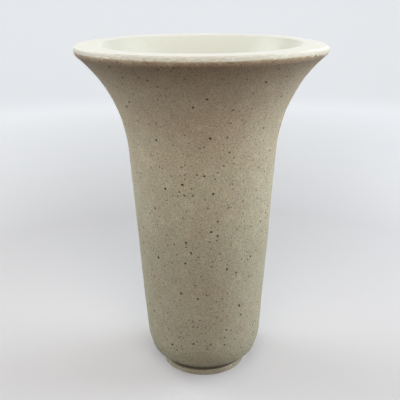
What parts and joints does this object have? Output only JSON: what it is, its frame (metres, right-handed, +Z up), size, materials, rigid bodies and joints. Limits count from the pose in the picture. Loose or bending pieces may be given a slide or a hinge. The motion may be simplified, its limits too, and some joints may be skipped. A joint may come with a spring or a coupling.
{
  "type": "drop-out casting mold",
  "caption": "Round flared drop-out casting mold: fine plaster face coat with a flat rim land, keyed into a coarse wired backing that stands on a bonded foot ring.",
  "frame": {"origin": "centre of the foot ring's resting face, on the mold's axis", "axes": "+Z up along the mold's axis, from the foot ring to the rim land; X and Y are free, because the mold is round"},
  "size_m": [0.2212, 0.2212, 0.31],
  "materials": {
    "fine_plaster": "satin",
    "coarse_plaster": "matte",
    "foot_plaster": "matte",
    "galvanised_wire": "satin"
  },
  "bodies": {
    "root": {"face_coat": "fine_plaster", "backing_shell": "coarse_plaster", "foot_ring": "foot_plaster", "rim_hoop": "galvanised_wire", "waist_hoop": "galvanised_wire", "base_hoop": "galvanised_wire", "stay_wires": "galvanised_wire"}
  },
  "joints": []
}
